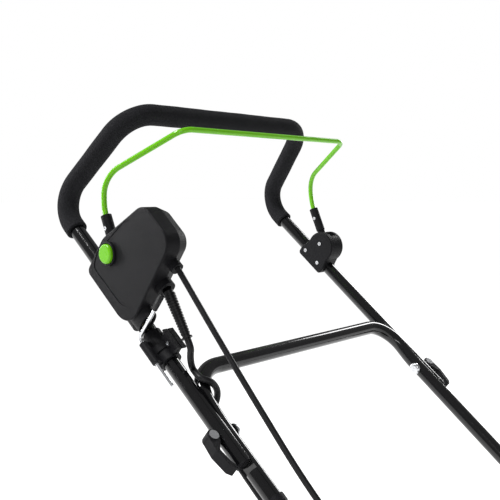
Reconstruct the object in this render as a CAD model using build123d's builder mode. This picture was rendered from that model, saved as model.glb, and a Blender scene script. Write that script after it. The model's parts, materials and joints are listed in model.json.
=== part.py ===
"""Mains reel mower with a folding bail handle.

X is the mowing direction, Y is left and Z is up. The origin is on the ground, under the middle of the
machine. Lengths are millimetres. Two sets of planes place everything:
  * the rake planes lie in the side view of the handle. Their x runs up the leg from the fold bolt and
    their y is square to the leg, towards the front;
  * the side planes lie in the side view of the machine, with x forward and y up.
"""

import os
from math import cos, pi, radians, sin

from build123d import *

# ---------------------------------------------------------------- driving dimensions
MID_X = -10.87  # datum of the side planes, which centres the whole machine over the origin
FOLD_X = MID_X - 145.0  # fold bolt
FOLD_Z = 560.0
RAKE = 38.1  # slope of the handle legs, degrees

TUBE_R = 11.0
TUBE_WALL = 1.5
LEG_Y = 235.0  # upper handle legs, half spacing
LOW_Y = 228.0  # lower handle legs, half spacing
BOLT_R = 4.0
FIT = 0.05  # radial running clearance
GAP = 0.3  # clearance between curved faces of different bodies

HIP = (437.0, 0.0, 235.0)  # virtual corner, leg to shoulder: along, normal, half width
BAR = (422.0, 179.0, 195.0)  # virtual corner, shoulder to top bar
HIP_R = 45.0
BAR_R = 55.0
UPPER_TAIL = -52.0
FOAM_START = 376.0
FOAM_R = 15.8

LOW_BEND = (10.0, 0.0, LOW_Y)
LOW_BAR = (86.0, 8.0, LOW_Y)
LOW_BAR_R = 50.0
LOW_TAIL = -585.0
LOW_FOOT_Y = 211.0  # legs draw in to this half spacing above the side plates
FOLD_A = -8.0  # fold bolt, along the leg
NEST = (-66.0, 90.0)  # stretch where both handles are flattened to lie face to face
UP_FLAT = 231.6
LOW_FLAT = 231.0

PIVOT = (273.6, 30.7)  # bail axis, along and normal
BAIL_TOP = (334.5, 62.9, LEG_Y)
BAIL_HIP = (375.4, 100.4, 232.0)
BAIL_BAR = (325.3, 219.5, 182.0)
ROD_R = 4.0
HOLDER_R = 7.8

BOX_FACE_Y = -263.0  # outer face of the switch box
BOX_BACK_Y = -223.0
BOX_SEAM_Y = -241.0
BOX_WALL = 3.0
SEAM = 0.1  # parting gap between two moulded shells
BUTTON = (271.0, 50.0)
BUTTON_R = 13.4
COLLAR_R = 16.6

REEL = (430.0, 92.5)  # reel axis, x and z
REEL_R = 62.5
BLADES = 5
BLADE_TWIST = 62.0  # degrees over the length of a blade
CUT_HALF = 186.0
WHEEL = (370.0, 105.0)
WHEEL_R = 105.0
MOTOR = (355.0, 190.0)
MOTOR_R = 42.0
ROLLER = (205.0, 24.0)
ROLLER_R = 24.0
PLATE_IN = 196.0
PLATE_OUT = 200.0
HANDLE_BOLTS = (-565.0, -520.0)

os.makedirs("parts", exist_ok=True)
UP = Vector(-cos(radians(RAKE)), 0, sin(radians(RAKE)))
FRONT = Vector(sin(radians(RAKE)), 0, cos(radians(RAKE)))
FOLD = Vector(FOLD_X, 0, FOLD_Z)
PIECES = {}


def at(along, normal, y):
    """A point given along the leg, square to it and across the machine."""
    return FOLD + UP * along + FRONT * normal + Vector(0, y, 0)


def rake(y):
    """Side view of the handle at y; an extrusion runs towards +Y."""
    return Plane(origin=FOLD + Vector(0, y, 0), x_dir=UP, z_dir=(0, 1, 0))


def station(along):
    """Section square to the legs, x across and y to the front; an extrusion runs down the leg."""
    return Plane(origin=FOLD + UP * along, x_dir=(0, 1, 0), z_dir=UP * -1)


def side(y):
    """Side view of the machine at y, x forward and y up; an extrusion runs towards -Y."""
    return Plane(origin=(MID_X, y, 0), x_dir=(1, 0, 0), z_dir=(0, -1, 0))


def level(z):
    """Horizontal plane at z, with the datum of the side planes as its origin."""
    return Plane(origin=(MID_X, 0, z))


def facing_right(along, normal, y):
    """Plane at a point of the handle whose extrusions run towards -Y."""
    return Plane(origin=at(along, normal, y), x_dir=UP, z_dir=(0, -1, 0))


def both_sides(points):
    """A route across the machine from its half on the right, mirrored to the left."""
    right = [at(a, n, -y) for a, n, y in points]
    left = [at(a, n, y) for a, n, y in reversed(points)]
    return right + left


def tube(points, radii, outer, inner=0.0):
    """Round tube, or a solid rod, along straight runs joined by arcs."""
    with BuildPart() as swept:
        with BuildLine() as path:
            FilletPolyline(*points, radius=radii)
        with BuildSketch(Plane(origin=path.line @ 0, z_dir=path.line % 0)):
            Circle(outer)
            if inner:
                Circle(inner, mode=Mode.SUBTRACT)
        sweep(path=path.line)
    return swept.part


def screws(plane_spots, head_r, head_h, shank_r, shank_l):
    """Pan head screws: each head stands on its plane and each shank runs back into the work."""
    with BuildPart() as group:
        for plane, spot in plane_spots:
            with BuildSketch(plane):
                with Locations(spot):
                    Circle(head_r)
            extrude(amount=head_h)
            with BuildSketch(plane):
                with Locations(spot):
                    Circle(shank_r)
            extrude(amount=-shank_l)
            with BuildSketch(plane.offset(head_h)):
                with Locations(spot):
                    Rectangle(head_r * 1.1, head_r * 0.28)
                    Rectangle(head_r * 0.28, head_r * 1.1)
            extrude(amount=-head_h * 0.5, mode=Mode.SUBTRACT)
    return group.part


def round_bar(plane, spot, radius, height, bore=0.0):
    """Round bar standing on a plane, made on its own for joining or cutting."""
    with BuildPart() as bar:
        with BuildSketch(plane):
            with Locations(spot):
                Circle(radius)
                if bore:
                    Circle(bore, mode=Mode.SUBTRACT)
        extrude(amount=height)
    return bar.part


def slab(low_a, high_a, low_y, high_y):
    """Pair of blocks across both legs, between two stations and two distances from the middle."""
    with BuildPart() as blocks:
        for way in (-1, 1):
            with BuildSketch(station(high_a)):
                with Locations((way * (low_y + high_y) / 2, 0)):
                    Rectangle(high_y - low_y, 4 * TUBE_R)
            extrude(amount=high_a - low_a)
    return blocks.part


# ---------------------------------------------------------------- upper handle
HANDLE_POINTS = [(UPPER_TAIL, 0, LEG_Y), HIP, BAR]
with BuildPart() as upper_handle_tube:
    add(tube(both_sides(HANDLE_POINTS), [HIP_R, BAR_R, BAR_R, HIP_R], TUBE_R, TUBE_R - TUBE_WALL))
    add(slab(UPPER_TAIL - 1, NEST[1], LEG_Y - 2 * TUBE_R, UP_FLAT), mode=Mode.SUBTRACT)
    for way in (-1, 1):
        leg = round_bar(station(NEST[1] + TUBE_WALL), (way * LEG_Y, 0), TUBE_R,
                        NEST[1] + TUBE_WALL - UPPER_TAIL)
        add(leg.intersect(slab(UPPER_TAIL, NEST[1], UP_FLAT, UP_FLAT + TUBE_WALL)))
        add(leg.intersect(slab(NEST[1], NEST[1] + TUBE_WALL, LEG_Y - 2 * TUBE_R, LEG_Y + 2 * TUBE_R)))
    with BuildSketch(rake(-LEG_Y - 2 * TUBE_R)):
        with Locations((FOLD_A, 0)):
            Circle(BOLT_R + FIT)
    extrude(amount=2 * LEG_Y + 4 * TUBE_R, mode=Mode.SUBTRACT)
PIECES["upper_handle_tube"] = upper_handle_tube

with BuildPart() as handle_end_caps:
    for y in (-LEG_Y, LEG_Y):
        with BuildSketch(station(UPPER_TAIL)):
            with Locations((y, 0)):
                Circle(TUBE_R)
        extrude(amount=2.5)
        with BuildSketch(station(UPPER_TAIL)):
            with Locations((y, 0)):
                Circle(TUBE_R - TUBE_WALL - SEAM)
        extrude(amount=-9)
    fillet(handle_end_caps.faces().filter_by(GeomType.PLANE).sort_by(Axis(FOLD, UP * -1))[-2:].edges(), 1.2)
    add(slab(UPPER_TAIL - 4, UPPER_TAIL, LEG_Y - 2 * TUBE_R, UP_FLAT), mode=Mode.SUBTRACT)
    add(slab(UPPER_TAIL, UPPER_TAIL + 12, LEG_Y - 2 * TUBE_R, UP_FLAT + TUBE_WALL + SEAM), mode=Mode.SUBTRACT)
PIECES["handle_end_caps"] = handle_end_caps

with BuildPart() as foam_grip:
    add(tube(both_sides([(FOAM_START, 0, LEG_Y), HIP, BAR]),
             [HIP_R, BAR_R, BAR_R, HIP_R], FOAM_R, TUBE_R + SEAM))
PIECES["foam_grip"] = foam_grip

# ---------------------------------------------------------------- switch box
BOX_CORNERS = [(294, -3), (294, 58), (255, 150), (184, 147), (177, -3)]
BOX_ROUND = [9, 26, 24, 24, 30]
BACK_TAPER = 20
PANEL = [(292, 34), (268, 118), (198, 118), (192, 14), (286, 12)]
OUTER_DEPTH = BOX_SEAM_Y - SEAM / 2 - BOX_FACE_Y
INNER_DEPTH = BOX_BACK_Y - BOX_SEAM_Y - SEAM / 2
SADDLE_R = 15.5
BAIL_SLOT = ((292, 38), (30, 38))  # opening for the bail end: middle and size, along and normal
BOX_SCREWS = [(238, 24), (208, 50), (204, 122), (243, 128)]
SCREW_R = 1.6
POST_R = 4.0


def box_outline(inset):
    """Rounded five-sided outline of the switch box."""
    with BuildSketch() as outline:
        with BuildLine():
            FilletPolyline(*BOX_CORNERS, radius=BOX_ROUND, close=True)
        make_face()
        if inset:
            offset(amount=-inset, mode=Mode.REPLACE)
    return outline.sketch


BOX_FULL = box_outline(0)
BOX_INSIDE = box_outline(BOX_WALL)
LEG_BORE = round_bar(station(320), (-LEG_Y, 0), TUBE_R + SEAM, 170)
LEG_SADDLE = round_bar(station(303), (-LEG_Y, 0), SADDLE_R, 119)

with BuildPart() as bosses:
    for spot, radius in (((-241.0, 110.0), 8.4), ((-240.0, 74.0), 12.6)):
        with BuildSketch(station(188)):
            with Locations(spot):
                Circle(radius)
        extrude(amount=16)
BOSS_CABLE = ((-241.0, 111.0), 4.0)
BOSS_LEAD = ((-240.0, 74.3), 6.6)

with BuildPart() as shroud:
    with BuildSketch(station(198)):
        with Locations((-249, 22)):
            Ellipse(13, 22)
    with BuildSketch(station(166)):
        with Locations((-249, 21)):
            Ellipse(11, 19)
    loft()
    with BuildSketch(station(165)):
        with Locations((-249, 21)):
            Ellipse(9, 17)
    extrude(amount=-17, mode=Mode.SUBTRACT)

with BuildPart() as box_solid:
    with BuildSketch(rake(BOX_SEAM_Y)):
        add(BOX_FULL)
    extrude(amount=-(BOX_SEAM_Y - BOX_FACE_Y))
    fillet(box_solid.faces().sort_by(Axis.Y)[0].edges(), 2.2)
    with BuildSketch(rake(BOX_SEAM_Y)):
        add(BOX_FULL)
    extrude(amount=BOX_BACK_Y - BOX_SEAM_Y, taper=BACK_TAPER)
    fillet(box_solid.faces().sort_by(Axis.Y)[-1].edges(), 4)
    add(LEG_SADDLE)
    add(bosses.part)

with BuildPart() as box_hollow:
    with BuildSketch(rake(BOX_FACE_Y + BOX_WALL)):
        add(BOX_INSIDE)
    extrude(amount=BOX_SEAM_Y - BOX_FACE_Y - BOX_WALL)
    with BuildSketch(rake(BOX_SEAM_Y)):
        add(BOX_INSIDE)
    extrude(amount=BOX_BACK_Y - BOX_SEAM_Y - BOX_WALL, taper=BACK_TAPER)
    add(round_bar(station(303), (-LEG_Y, 0), SADDLE_R, 123), mode=Mode.SUBTRACT)

with BuildPart() as box_shell:
    add(box_solid.part)
    add(box_hollow.part, mode=Mode.SUBTRACT)
    for (spot, bore) in (BOSS_CABLE, BOSS_LEAD):
        with BuildSketch(station(190)):
            with Locations(spot):
                Circle(bore)
        extrude(amount=30, mode=Mode.SUBTRACT)
    with BuildSketch(rake(LEG_Y * -1 - HOLDER_R - 1)):
        with Locations(BAIL_SLOT[0]):
            Rectangle(*BAIL_SLOT[1])
    extrude(amount=2 * HOLDER_R + 2, mode=Mode.SUBTRACT)
    add(shroud.part)
    add(LEG_BORE, mode=Mode.SUBTRACT)
    with BuildSketch(station(198.1)):
        with Locations((-249, 21)):
            Ellipse(9, 17)
    extrude(amount=34, mode=Mode.SUBTRACT)

with BuildPart() as switch_box_outer:
    add(box_shell.part)
    split(bisect_by=rake(BOX_SEAM_Y - SEAM / 2), keep=Keep.BOTTOM)
    with BuildSketch(rake(BOX_FACE_Y)):
        with BuildLine():
            FilletPolyline(*PANEL, radius=[14, 22, 20, 24, 10], close=True)
        make_face()
    extrude(amount=0.7, mode=Mode.SUBTRACT)
    with BuildSketch(rake(BOX_FACE_Y - 1)):
        with Locations(BUTTON):
            Circle(COLLAR_R + SEAM)
    extrude(amount=9, mode=Mode.SUBTRACT)
    with BuildSketch(rake(BOX_FACE_Y + BOX_WALL - 1)):
        with Locations(*BOX_SCREWS):
            Circle(4.2)
    extrude(amount=OUTER_DEPTH - BOX_WALL + 1)
    with BuildSketch(rake(BOX_SEAM_Y - SEAM / 2)):
        with Locations(*BOX_SCREWS):
            Circle(SCREW_R)
    extrude(amount=-15, mode=Mode.SUBTRACT)
PIECES["switch_box_outer"] = switch_box_outer

with BuildPart() as switch_box_inner:
    add(box_shell.part)
    split(bisect_by=rake(BOX_SEAM_Y + SEAM / 2), keep=Keep.TOP)
    with BuildSketch(rake(BOX_SEAM_Y + SEAM / 2)):
        with Locations(*BOX_SCREWS):
            Circle(4.2)
    extrude(amount=INNER_DEPTH - 1)
    with BuildSketch(rake(BOX_SEAM_Y + SEAM / 2)):
        with Locations(*BOX_SCREWS):
            Circle(SCREW_R)
    extrude(amount=INNER_DEPTH + 1, mode=Mode.SUBTRACT)
    with BuildSketch(rake(BOX_BACK_Y - BOX_WALL)):
        with Locations(PIVOT):
            Circle(POST_R)
    extrude(amount=-19)
PIECES["switch_box_inner"] = switch_box_inner

BOX_SCREW_SET = screws([(rake(BOX_BACK_Y), spot) for spot in BOX_SCREWS], 3.2, 1.8, SCREW_R, 26)

with BuildPart() as button_collar:
    with BuildSketch(rake(BOX_FACE_Y + 8)):
        with Locations(BUTTON):
            Circle(COLLAR_R)
            Circle(BUTTON_R + GAP, mode=Mode.SUBTRACT)
    extrude(amount=-11)
    fillet(button_collar.faces().sort_by(Axis.Y)[0].edges(), 1.0)
PIECES["button_collar"] = button_collar

BUTTON_OUT = -270.0
BUTTON_BACK = -254.0
with BuildPart() as start_button:
    with BuildSketch(rake(BUTTON_BACK)):
        with Locations(BUTTON):
            Circle(BUTTON_R)
    extrude(amount=BUTTON_OUT - BUTTON_BACK)
    fillet(start_button.faces().sort_by(Axis.Y)[0].edges(), 3.0)
    with BuildSketch(rake(BUTTON_BACK)):
        with Locations(BUTTON):
            Circle(BUTTON_R - 2)
            Circle(3.2, mode=Mode.SUBTRACT)
    extrude(amount=-8, mode=Mode.SUBTRACT)
PIECES["start_button"] = start_button

with BuildPart() as button_spring:
    with BuildSketch(rake(-246.4)):
        with Locations(BUTTON):
            Circle(7.2)
            Circle(5.6, mode=Mode.SUBTRACT)
    extrude(amount=-15)
PIECES["button_spring"] = button_spring

with BuildPart() as micro_switch:
    with BuildSketch(rake(-246.2)):
        with Locations(BUTTON):
            Rectangle(26, 14)
    extrude(amount=4.0)
    with BuildSketch(rake(-246.2)):
        with Locations(BUTTON):
            Rectangle(4, 3)
    extrude(amount=-2.6)
PIECES["micro_switch"] = micro_switch

with BuildPart() as inlet_pins:
    with BuildSketch(station(198)):
        with Locations((-249, 21)):
            Ellipse(8.9, 16.9)
    extrude(amount=8)
    with BuildSketch(station(190)):
        with Locations((-249, 14), (-249, 28)):
            Circle(2.4)
    extrude(amount=19)
PIECES["inlet_pins"] = inlet_pins

# ---------------------------------------------------------------- bail
HOLDER_RISE = Vector(BAIL_TOP[0] - PIVOT[0], BAIL_TOP[1] - PIVOT[1])
HOLDER_L = HOLDER_RISE.length
HOLDER_DIR = (UP * HOLDER_RISE.X + FRONT * HOLDER_RISE.Y).normalized()


def on_holder(distance):
    """Along and normal of a point on the axis of a bail end, from its pivot."""
    rise = HOLDER_RISE.normalized() * distance
    return (PIVOT[0] + rise.X, PIVOT[1] + rise.Y)


ROD_START = (*on_holder(32), LEG_Y)
ROD_BEND = (*on_holder(HOLDER_L + 9), LEG_Y)
HUB_R = 12.0
HUB_HALF = 6.0
with BuildPart() as bail_rod:
    add(tube(both_sides([ROD_START, ROD_BEND, BAIL_HIP, BAIL_BAR]),
             [60, 42, 24, 24, 42, 60], ROD_R))
PIECES["bail_rod"] = bail_rod

CROSS_SPOT = on_holder(50)
for name, y in (("bail_end_near", -LEG_Y), ("bail_end_far", LEG_Y)):
    axis = at(PIVOT[0], PIVOT[1], y)
    rod_seat = at(ROD_START[0], ROD_START[1], y)
    with BuildPart() as bail_end:
        with BuildSketch(Plane(origin=axis + HOLDER_DIR * 4, x_dir=(0, 1, 0), z_dir=HOLDER_DIR)):
            Circle(HOLDER_R - 1.2)
        extrude(amount=22)
        with BuildSketch(Plane(origin=axis + HOLDER_DIR * 26, x_dir=(0, 1, 0), z_dir=HOLDER_DIR)):
            Circle(HOLDER_R)
        extrude(amount=HOLDER_L - 26)
        with BuildSketch(rake(y - HUB_HALF)):
            with Locations(PIVOT):
                Circle(HUB_R)
        extrude(amount=2 * HUB_HALF)
        with BuildSketch(rake(y - HUB_HALF - 1)):
            with Locations(PIVOT):
                Circle(POST_R + FIT)
        extrude(amount=2 * HUB_HALF + 2, mode=Mode.SUBTRACT)
        with BuildSketch(Plane(origin=rod_seat, x_dir=(0, 1, 0), z_dir=HOLDER_DIR)):
            Circle(ROD_R + SEAM)
        extrude(amount=60, mode=Mode.SUBTRACT)
        with BuildSketch(rake(y - HOLDER_R - 1)):
            with Locations(CROSS_SPOT):
                Circle(1.6)
        extrude(amount=HOLDER_R + 1, mode=Mode.SUBTRACT)
        with BuildSketch(rake(y - HOLDER_R - 1)):
            with Locations(CROSS_SPOT):
                Circle(3.2)
        extrude(amount=2.6, mode=Mode.SUBTRACT)
    PIECES[name] = bail_end

PIECES["bail_screws"] = screws(
    [(facing_right(*CROSS_SPOT, y - HOLDER_R + 1.6), (0, 0)) for y in (-LEG_Y, LEG_Y)],
    3.0, 1.8, 1.5, HOLDER_R - 1.6 - ROD_R - SEAM)

# ---------------------------------------------------------------- far pivot housing
PLATE_Y = (217.0, 226.0)
DRUM_Y = (226.1, 252.5)
DRUM_MID = (269.0, 27.0)
DRUM_R = 27.0


def housing_outline():
    """D-shaped outline: a round drum over the bail axis with a flat foot across the leg."""
    with BuildSketch() as outline:
        with Locations(DRUM_MID):
            Circle(DRUM_R)
        with Locations((271, -3)):
            RectangleRounded(62, 22, 6)
        with BuildLine():
            Polyline((302, -4), (291, 42), (247, 42), (240, -4), close=True)
        make_face()
    return outline.sketch


HOUSING = housing_outline()
FAR_BORE = round_bar(station(320), (LEG_Y, 0), TUBE_R + SEAM, 100)
with BuildPart() as pivot_housing_plate:
    with BuildSketch(rake(PLATE_Y[0])):
        add(HOUSING)
    extrude(amount=PLATE_Y[1] - PLATE_Y[0])
    fillet(pivot_housing_plate.faces().sort_by(Axis.Y)[0].edges(), 2.0)
    add(FAR_BORE, mode=Mode.SUBTRACT)
    with BuildSketch(rake(PLATE_Y[0])):
        with Locations(PIVOT, (291, 0), (256, 0)):
            Circle(4.8)
    extrude(amount=1.2, mode=Mode.SUBTRACT)
    with BuildSketch(rake(PLATE_Y[0])):
        with Locations(PIVOT, (291, 0), (256, 0)):
            Circle(SCREW_R)
    extrude(amount=PLATE_Y[1] - PLATE_Y[0], mode=Mode.SUBTRACT)
PIECES["pivot_housing_plate"] = pivot_housing_plate

with BuildPart() as pivot_housing_drum:
    with BuildSketch(rake(DRUM_Y[0])):
        add(HOUSING)
    extrude(amount=DRUM_Y[1] - DRUM_Y[0])
    fillet(pivot_housing_drum.faces().sort_by(Axis.Y)[-1].edges(), 3.0)
    add(FAR_BORE, mode=Mode.SUBTRACT)
    with BuildSketch(rake(LEG_Y - HOLDER_R - 0.8)):
        with BuildLine():
            Polyline((265, 16), (325, 16), (325, 80), (279, 80), (265, 46), close=True)
        make_face()
        with Locations(PIVOT):
            Circle(HUB_R + 1, mode=Mode.ADD)
    extrude(amount=2 * HOLDER_R + 1.6, mode=Mode.SUBTRACT)
    with BuildSketch(rake(LEG_Y - HOLDER_R - 0.8)):
        with Locations(PIVOT):
            Circle(9.5)
    extrude(amount=2 * HOLDER_R + 8, mode=Mode.SUBTRACT)
    with BuildSketch(rake(DRUM_Y[0] + 0.2)):
        with Locations(PIVOT):
            Circle(POST_R)
    extrude(amount=26)
    with BuildSketch(rake(DRUM_Y[0])):
        with Locations(PIVOT):
            Circle(SCREW_R)
    extrude(amount=16, mode=Mode.SUBTRACT)
PIECES["pivot_housing_drum"] = pivot_housing_drum

HOUSING_SCREW_Y = PLATE_Y[0] + 1.2
PIVOT_SCREW = screws([(facing_right(*PIVOT, HOUSING_SCREW_Y), (0, 0))], 3.4, 1.7, SCREW_R - 0.05, 14)
FOOT_SCREWS = screws([(facing_right(a, 0, HOUSING_SCREW_Y), (0, 0)) for a in (256, 291)],
                     3.4, 1.7, SCREW_R - 0.05, 5.4)

with BuildPart() as bail_return_spring:
    with BuildSketch(rake(LEG_Y + HOLDER_R + 1.2)):
        with Locations(PIVOT):
            Circle(8.6)
            Circle(5.2, mode=Mode.SUBTRACT)
    extrude(amount=5.6)
PIECES["bail_return_spring"] = bail_return_spring

# ---------------------------------------------------------------- cord guide
WIRE_Y = -260.0
WIRE_N = 3.0
WIRE_R = 2.5
CLAMP_SPOT = (127, 21)
with BuildPart() as cord_guide_clamp:
    with BuildSketch(station(152)):
        with Locations((-LEG_Y, 0)):
            Circle(SADDLE_R)
    extrude(amount=40)
    with BuildSketch(station(162)):
        with Locations((-LEG_Y, 0)):
            Circle(SADDLE_R - 2)
    extrude(amount=10)
    with BuildSketch(station(137)):
        with Locations((-LEG_Y, 0)):
            Circle(SADDLE_R + 1.6)
    extrude(amount=10)
    with BuildSketch(station(141)):
        with Locations((-LEG_Y, 20)):
            Rectangle(11, 20)
    extrude(amount=28)
    with BuildSketch(station(144)):
        with Locations((-LEG_Y, 29.4)):
            Rectangle(17, 2.6)
    extrude(amount=34)
    with BuildSketch(station(148)):
        with Locations((WIRE_Y, WIRE_N)):
            Circle(5.4)
        with Locations((-253.5, 0)):
            Rectangle(8, 9)
    extrude(amount=34)
    add(round_bar(station(175), (-LEG_Y, 0), TUBE_R + SEAM, 70), mode=Mode.SUBTRACT)
    with BuildSketch(station(175)):
        with Locations((-LEG_Y, 24)):
            Rectangle(1.6, 30)
    extrude(amount=70, mode=Mode.SUBTRACT)
    with BuildSketch(station(175)):
        with Locations((WIRE_Y, WIRE_N)):
            Circle(WIRE_R + FIT)
    extrude(amount=70, mode=Mode.SUBTRACT)
    with BuildSketch(Plane(origin=at(*CLAMP_SPOT, -LEG_Y - 10), x_dir=UP, z_dir=(0, 1, 0))):
        Circle(SCREW_R + 0.1)
    extrude(amount=20, mode=Mode.SUBTRACT)
PIECES["cord_guide_clamp"] = cord_guide_clamp

CLAMP_SCREW = screws([(facing_right(*CLAMP_SPOT, -LEG_Y - 5.5), (0, 0))], 3.4, 2.0, SCREW_R, 12)
with BuildPart() as case_screws:
    add([BOX_SCREW_SET, PIVOT_SCREW, FOOT_SCREWS, CLAMP_SCREW])
PIECES["case_screws"] = case_screws

with BuildPart() as cord_guide_wire:
    with BuildLine() as wire_path:
        FilletPolyline(at(75, WIRE_N, WIRE_Y), at(158, WIRE_N, WIRE_Y), at(158, 80, WIRE_Y), radius=[8])
    with BuildSketch(Plane(origin=wire_path.line @ 0, z_dir=wire_path.line % 0)):
        Circle(WIRE_R)
    sweep(path=wire_path.line)
PIECES["cord_guide_wire"] = cord_guide_wire

# ---------------------------------------------------------------- lower handle and its fold
LOW_POINTS = [(LOW_TAIL, 0, LOW_FOOT_Y), (-430, 0, LOW_FOOT_Y), (-330, 0, LOW_Y), LOW_BEND, LOW_BAR]
LOW_RADII = [160, 160, 200, LOW_BAR_R]
with BuildPart() as lower_handle_tube:
    add(tube(both_sides(LOW_POINTS), LOW_RADII + LOW_RADII[::-1], TUBE_R, TUBE_R - TUBE_WALL))
    solid_tube = tube(both_sides(LOW_POINTS), LOW_RADII + LOW_RADII[::-1], TUBE_R)
    add(slab(*NEST, LOW_FLAT, LOW_Y + 2 * TUBE_R), mode=Mode.SUBTRACT)
    add(solid_tube.intersect(slab(*NEST, LOW_FLAT - TUBE_WALL, LOW_FLAT)))
    add(solid_tube.intersect(slab(NEST[0] - TUBE_WALL, NEST[0], LOW_Y - 2 * TUBE_R, LOW_Y + 2 * TUBE_R)))
    with BuildSketch(rake(-LOW_Y - 2 * TUBE_R)):
        with Locations((FOLD_A, 0)):
            Circle(BOLT_R + FIT)
        with Locations(*[(a, 0) for a in HANDLE_BOLTS]):
            Circle(3.1)
    extrude(amount=2 * LOW_Y + 4 * TUBE_R, mode=Mode.SUBTRACT)
PIECES["lower_handle_tube"] = lower_handle_tube

LOW_IN = LOW_Y - TUBE_R
LOW_OUT = LOW_FLAT
UP_IN = UP_FLAT
UP_OUT = LEG_Y + TUBE_R
WASHER_R = 9.0
BARREL_R = 6.5
BARREL_Y = UP_OUT + 9.0
SIDES = (-1, 1)

BOLT_HEAD_H = 5.5
with BuildPart() as fold_bolts:
    for way in SIDES:
        with BuildSketch(rake(way * LOW_IN)):
            with Locations((FOLD_A, 0)):
                Circle(9.5)
        extrude(amount=-way * BOLT_HEAD_H)
        dome_y = way * (LOW_IN - BOLT_HEAD_H)
        fillet(fold_bolts.faces().filter_by_position(Axis.Y, dome_y - 0.1, dome_y + 0.1).edges(), 4.0)
        with BuildSketch(rake(way * LOW_IN)):
            with Locations((FOLD_A, 0)):
                Circle(BOLT_R)
        extrude(amount=way * (BARREL_Y - LOW_IN - 1))
PIECES["fold_bolts"] = fold_bolts

with BuildPart() as fold_spacers:
    for way in SIDES:
        with BuildSketch(rake(way * (LOW_OUT + 0.05))):
            with Locations((FOLD_A, 0)):
                Circle(WASHER_R)
                Circle(BOLT_R + FIT, mode=Mode.SUBTRACT)
        extrude(amount=way * (UP_IN - LOW_OUT - 0.1))
PIECES["fold_spacers"] = fold_spacers

with BuildPart() as barrel_nuts:
    for way in SIDES:
        with BuildSketch(Plane(origin=at(FOLD_A, -9, way * BARREL_Y), x_dir=(0, 1, 0), z_dir=FRONT)):
            Circle(BARREL_R)
        extrude(amount=18)
        with BuildSketch(rake(way * (LOW_IN + 1))):
            with Locations((FOLD_A, 0)):
                Circle(BOLT_R)
        extrude(amount=way * (BARREL_Y - LOW_IN - 2), mode=Mode.SUBTRACT)
PIECES["barrel_nuts"] = barrel_nuts

CAM_R = 8.6
CAM_HALF = 7.5
CAM_ARM = [(0, 8.4), (20, 10.5), (44, 5.5), (50, -1), (47, -3.5), (38, 1), (20, 4.5), (8, -5), (0, -5)]
for name, way in (("cam_lever_near", -1), ("cam_lever_far", 1)):
    cam_plane = Plane(origin=at(FOLD_A, -CAM_HALF * way, way * BARREL_Y), x_dir=UP * -1, z_dir=FRONT * way)
    with BuildPart() as cam_lever:
        with BuildSketch(cam_plane):
            with BuildLine():
                Polyline(*CAM_ARM, close=True)
            make_face()
            Circle(CAM_R)
        extrude(amount=2 * CAM_HALF)
        fillet(cam_lever.edges().filter_by(Axis(FOLD, FRONT)).group_by(SortBy.LENGTH)[-1][2:5], 1.0)
        with BuildSketch(cam_plane.offset(-1)):
            Circle(BARREL_R + FIT)
        extrude(amount=2 * CAM_HALF + 2, mode=Mode.SUBTRACT)
        with BuildSketch(cam_plane.offset(CAM_HALF - BOLT_R - 0.3)):
            with Locations((-4, -4)):
                Rectangle(16.6, 16.6)
        extrude(amount=2 * BOLT_R + 0.6, mode=Mode.SUBTRACT)
    PIECES[name] = cam_lever

# ---------------------------------------------------------------- cutting unit frame
PLATE = [(462, 62), (468, 120), (440, 152), (392, 214), (330, 232), (288, 262), (252, 262), (236, 226),
         (246, 150), (184, 72), (184, 44), (214, 36), (300, 62), (360, 30), (440, 26)]
TIE_RODS = [(480, 148), (262, 104)]
FOOT_BOLTS = [(222, 62), (246, 92)]
CATCHER_HOLE = (257, 168)
KNIFE_TOP = REEL[1] - REEL_R - 0.5
KNIFE_T = 3.0
BEARING_R = 16.0
REEL_SHAFT_R = 8.0
STUB_R = 8.0
TIE_R = 6.0


def handle_spot(along):
    """Place of a handle bolt in the side view of the machine."""
    spot = at(along, 0, 0)
    return (spot.X - MID_X, spot.Z)


BOLT_SPOTS = [handle_spot(a) for a in HANDLE_BOLTS]
for name, way in (("side_plate_right", -1), ("side_plate_left", 1)):
    with BuildPart() as side_plate:
        with BuildSketch(side(max(way * PLATE_IN, way * PLATE_OUT))):
            with BuildLine():
                Polyline(*PLATE, close=True)
            make_face()
            fillet(vertices(), 9)
            with Locations(REEL):
                Circle(BEARING_R + FIT, mode=Mode.SUBTRACT)
            with Locations(WHEEL):
                Circle(STUB_R - 2, mode=Mode.SUBTRACT)
            with Locations(*TIE_RODS, *BOLT_SPOTS, *FOOT_BOLTS, CATCHER_HOLE):
                Circle(3.1, mode=Mode.SUBTRACT)
            if way > 0:
                with Locations(MOTOR):
                    Circle(9, mode=Mode.SUBTRACT)
        extrude(amount=PLATE_OUT - PLATE_IN)
    PIECES[name] = side_plate

with BuildPart() as tie_rods:
    for spot in TIE_RODS:
        with BuildSketch(side(PLATE_IN - 0.05)):
            with Locations(spot):
                Circle(TIE_R)
        extrude(amount=2 * PLATE_IN - 0.1)
PIECES["tie_rods"] = tie_rods

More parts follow.
